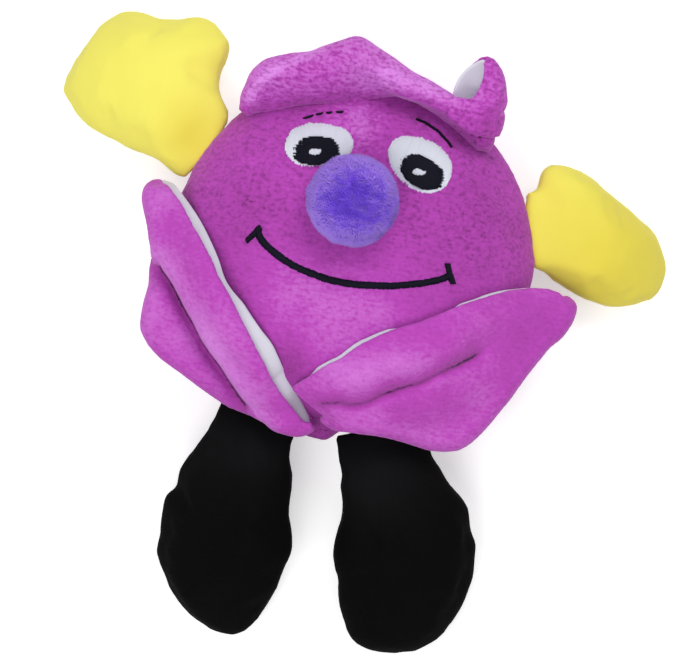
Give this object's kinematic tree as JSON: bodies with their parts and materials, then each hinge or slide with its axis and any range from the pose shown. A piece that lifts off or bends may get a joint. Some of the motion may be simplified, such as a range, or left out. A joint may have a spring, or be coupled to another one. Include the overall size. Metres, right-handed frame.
{
  "type": "squeaky dog toy",
  "caption": "Stuffed plush squeaky dog toy: round face with a ball nose, stitched eyes and smile, mitten hands, padded legs, folding leaves, and a press squeaker inside.",
  "frame": {"origin": "middle of the flat patch under the back, on the surface that the toy lies on", "axes": "+Z the way the face looks, +Y towards the crown, +X to the right of a person who faces the toy"},
  "size_m": [0.19, 0.1859, 0.0662],
  "materials": {
    "magenta_plush": "short pile plush",
    "violet_plush": "short pile plush",
    "yellow_plush": "short pile plush",
    "black_plush": "short pile plush",
    "white_lining": "flat woven lining",
    "dark_thread": "satin stitch embroidery",
    "white_thread": "satin stitch embroidery",
    "stuffing": "loose polyester fibre",
    "squeaker_plastic": "soft moulded vinyl",
    "reed_plastic": "thin film"
  },
  "bodies": {
    "body": {"face_panel": "magenta_plush", "back_panel": "magenta_plush", "front_stuffing": "stuffing", "back_stuffing": "stuffing", "squeaker_cup": "squeaker_plastic", "reed_holder": "squeaker_plastic", "squeaker_reed": "reed_plastic", "nose_cover": "violet_plush", "nose_stuffing": "stuffing", "left_eye_white": "white_thread", "left_pupil": "dark_thread", "left_eye_glint": "white_thread", "right_eye_white": "white_thread", "right_pupil": "dark_thread", "right_eye_glint": "white_thread", "left_brow": "dark_thread", "right_brow": "dark_thread", "mouth_stitching": "dark_thread"},
    "squeaker_button": {"squeaker_dome": "squeaker_plastic"},
    "left_hand": {"left_hand_front": "yellow_plush", "left_hand_back": "yellow_plush", "left_hand_stuffing": "stuffing"},
    "right_hand": {"right_hand_front": "yellow_plush", "right_hand_back": "yellow_plush", "right_hand_stuffing": "stuffing"},
    "left_leg": {"left_leg_front": "black_plush", "left_leg_back": "black_plush", "left_leg_stuffing": "stuffing"},
    "right_leg": {"right_leg_front": "black_plush", "right_leg_back": "black_plush", "right_leg_stuffing": "stuffing"},
    "left_leaf": {"left_leaf_plush": "magenta_plush", "left_leaf_lining": "white_lining"},
    "right_leaf": {"right_leaf_plush": "magenta_plush", "right_leaf_lining": "white_lining"},
    "crown_leaf": {"crown_leaf_plush": "magenta_plush", "crown_leaf_lining": "white_lining"}
  },
  "joints": [
    {"name": "left_hand_bend", "type": "hinge", "parent": "body", "child": "left_hand", "pos_m": [-0.05148, 0.02401, 0.021], "axis": [-0.4226, -0.9063, 0], "range_deg": [-55, 25]},
    {"name": "right_hand_bend", "type": "hinge", "parent": "body", "child": "right_hand", "pos_m": [0.05432, 0.01744, 0.021], "axis": [-0.3057, 0.9521, 0], "range_deg": [-55, 25]},
    {"name": "left_leg_bend", "type": "hinge", "parent": "body", "child": "left_leg", "pos_m": [-0.0184, -0.05532, 0.021], "axis": [0.9489, -0.3156, 0], "range_deg": [-45, 25]},
    {"name": "right_leg_bend", "type": "hinge", "parent": "body", "child": "right_leg", "pos_m": [0.02024, -0.05471, 0.021], "axis": [0.9379, 0.3469, 0], "range_deg": [-45, 25]},
    {"name": "left_leaf_fold", "type": "hinge", "parent": "body", "child": "left_leaf", "pos_m": [-0.01873, -0.0544, 0.0225], "axis": [0.9455, -0.3256, 0], "range_deg": [0, 70]},
    {"name": "right_leaf_fold", "type": "hinge", "parent": "body", "child": "right_leaf", "pos_m": [0.01681, -0.05499, 0.0225], "axis": [0.9563, 0.2924, 0], "range_deg": [0, 70]},
    {"name": "crown_leaf_fold", "type": "hinge", "parent": "body", "child": "crown_leaf", "pos_m": [-0.00206, 0.05902, 0.021], "axis": [-0.9994, -0.0349, 0], "range_deg": [0, 90]},
    {"name": "squeaker_press", "type": "slide", "parent": "body", "child": "squeaker_button", "axis": [0, 0, -1], "range_m": [0, 0.006], "stiffness_N_per_m": 400}
  ]
}
